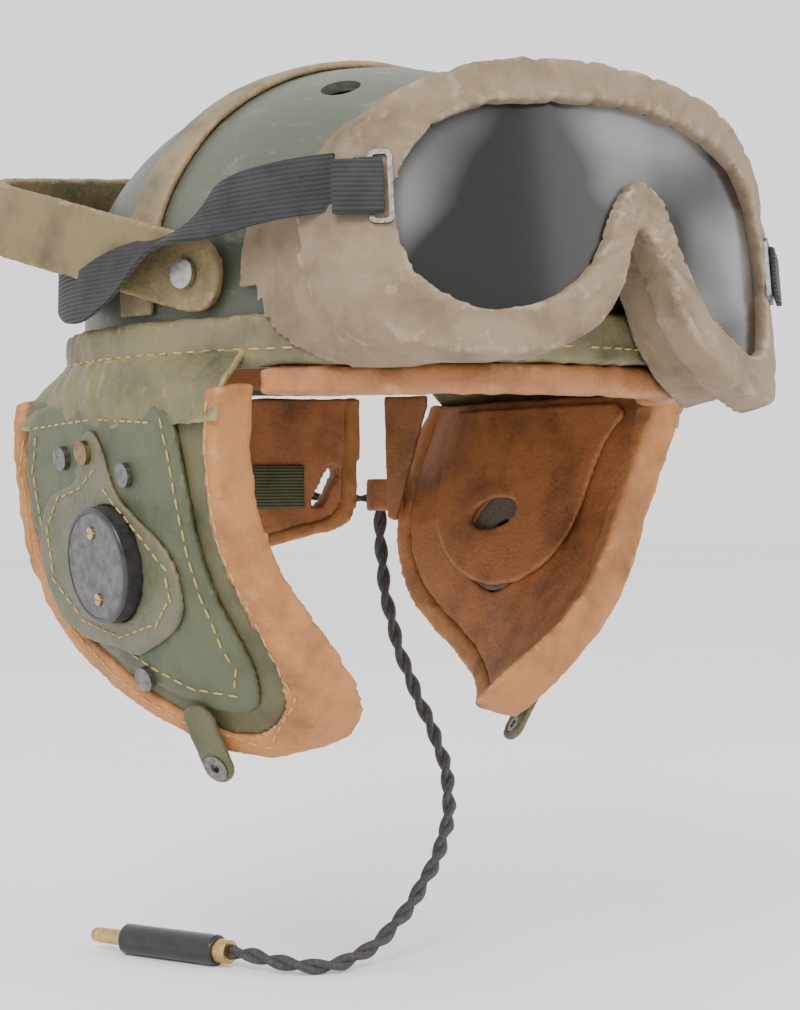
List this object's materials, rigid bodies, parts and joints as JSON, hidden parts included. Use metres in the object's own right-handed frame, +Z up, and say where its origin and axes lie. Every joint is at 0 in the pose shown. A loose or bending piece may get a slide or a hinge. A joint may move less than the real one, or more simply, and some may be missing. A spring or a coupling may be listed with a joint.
{
  "type": "crash helmet with goggles",
  "caption": "Open-face crash helmet: ventilated dome, leather ear flaps with headphone receivers, padded neck guard, goggles on an elastic strap and a headset cord",
  "frame": {"origin": "middle of the head opening, in the plane of the brow rim", "axes": "+Z up through the crown, the face looks along -Y, +X is the wearer's left"},
  "size_m": [0.2606, 0.3104, 0.3603],
  "materials": {
    "band_leather": "wrinkled",
    "brow_leather": "matte",
    "tongue_leather": "matte",
    "lace_cord": "matte",
    "cradle_cloth": "matte",
    "crown_felt": "matte",
    "strap_leather": "worn",
    "elastic_web": "ribbed",
    "lens_plastic": "clear, tinted",
    "retainer_leather": "worn",
    "goggle_rubber": "matte",
    "cord_rubber": "braided",
    "dark_steel": "dull",
    "flap_leather": "worn",
    "snap_bronze": "dull",
    "lining_leather": "matte",
    "cushion_felt": "matte",
    "binding_leather": "worn",
    "patch_leather": "worn",
    "receiver_plastic": "gloss",
    "cover_leather": "worn",
    "receiver_metal": "satin",
    "plug_brass": "dull",
    "guard_leather": "worn",
    "webbing": "woven",
    "plug_plastic": "gloss",
    "bright_steel": "dull",
    "shell_paint": "satin, scuffed",
    "sweat_leather": "matte"
  },
  "bodies": {
    "dome": {"shell": "shell_paint", "crown_strap": "strap_leather", "brow_band": "band_leather", "sweatband": "sweat_leather", "brow_pad": "brow_leather", "cradle_tongues": "cradle_cloth", "cradle_lace": "lace_cord", "crown_pad": "crown_felt", "retainer_posts": "bright_steel", "right_rear_tongue": "tongue_leather", "left_rear_tongue": "tongue_leather", "cord_keeper": "tongue_leather", "right_ear_cord": "cord_rubber", "left_ear_cord": "cord_rubber", "headset_cord": "cord_rubber", "plug_collar": "plug_brass", "plug_body": "plug_plastic", "plug_tip": "plug_brass", "elastic_strap": "elastic_web"},
    "retainer": {"goggle_retainer": "retainer_leather", "retainer_caps": "bright_steel"},
    "neck_guard": {"neck_guard_binding": "binding_leather", "neck_guard_lining": "lining_leather", "neck_guard_pad": "guard_leather", "neck_guard_webbing": "webbing"},
    "goggles": {"goggle_rim": "goggle_rubber", "goggle_lens": "lens_plastic", "goggle_skirt": "goggle_rubber", "strap_loops": "dark_steel", "strap_ends": "elastic_web"},
    "right_flap": {"right_cover_snap": "snap_bronze", "right_ear_cushion": "cushion_felt", "right_flap_binding": "binding_leather", "right_flap_lining": "lining_leather", "right_flap_pad": "flap_leather", "right_flap_patch": "patch_leather", "right_patch_studs": "dark_steel", "right_receiver_case": "receiver_plastic", "right_receiver_cover": "cover_leather", "right_receiver_plate": "receiver_metal", "right_receiver_screws": "plug_brass"},
    "right_ear_cover": {"right_ear_cover": "lining_leather"},
    "right_chin_tab": {"right_chin_tab": "flap_leather", "right_chin_eyelet": "dark_steel"},
    "left_flap": {"left_cover_snap": "snap_bronze", "left_ear_cushion": "cushion_felt", "left_flap_binding": "binding_leather", "left_flap_lining": "lining_leather", "left_flap_pad": "flap_leather", "left_flap_patch": "patch_leather", "left_patch_studs": "dark_steel", "left_receiver_case": "receiver_plastic", "left_receiver_cover": "cover_leather", "left_receiver_plate": "receiver_metal", "left_receiver_screws": "plug_brass"},
    "left_ear_cover": {"left_ear_cover": "lining_leather"},
    "left_chin_tab": {"left_chin_tab": "flap_leather", "left_chin_eyelet": "dark_steel"}
  },
  "joints": [
    {"name": "goggles_pull_down", "type": "hinge", "parent": "dome", "child": "goggles", "pos_m": [0, 0.02, -0.12], "axis": [1, 0, 0], "range_deg": [0, 22], "deforming": ["elastic_strap"]},
    {"name": "retainer_swing", "type": "hinge", "parent": "dome", "child": "retainer", "pos_m": [0, -0.039, 0.034], "axis": [1, 0, 0], "range_deg": [-2, 28]},
    {"name": "neck_guard_swing", "type": "hinge", "parent": "dome", "child": "neck_guard", "pos_m": [0, 0.1345, -0.0015], "axis": [1, 0, 0], "range_deg": [0, 40]},
    {"name": "right_flap_swing", "type": "hinge", "parent": "dome", "child": "right_flap", "pos_m": [-0.105, 0, -0.007], "axis": [0, 1, 0], "range_deg": [0, 60], "deforming": ["right_ear_cord"]},
    {"name": "right_ear_cover_lift", "type": "hinge", "parent": "right_flap", "child": "right_ear_cover", "pos_m": [-0.09456, 0.006, -0.01076], "axis": [0, -1, 0], "range_deg": [0, 30]},
    {"name": "right_chin_tab_swing", "type": "hinge", "parent": "right_flap", "child": "right_chin_tab", "pos_m": [-0.0913, -0.0176, -0.12218], "axis": [0, 1, 0], "range_deg": [0, 60]},
    {"name": "left_flap_swing", "type": "hinge", "parent": "dome", "child": "left_flap", "pos_m": [0.105, 0, -0.007], "axis": [0, -1, 0], "range_deg": [0, 60], "deforming": ["left_ear_cord"]},
    {"name": "left_ear_cover_lift", "type": "hinge", "parent": "left_flap", "child": "left_ear_cover", "pos_m": [0.09411, 0.006, -0.00908], "axis": [0, 1, 0], "range_deg": [0, 30]},
    {"name": "left_chin_tab_swing", "type": "hinge", "parent": "left_flap", "child": "left_chin_tab", "pos_m": [0.07345, -0.0176, -0.11862], "axis": [0, -1, 0], "range_deg": [0, 60]}
  ]
}
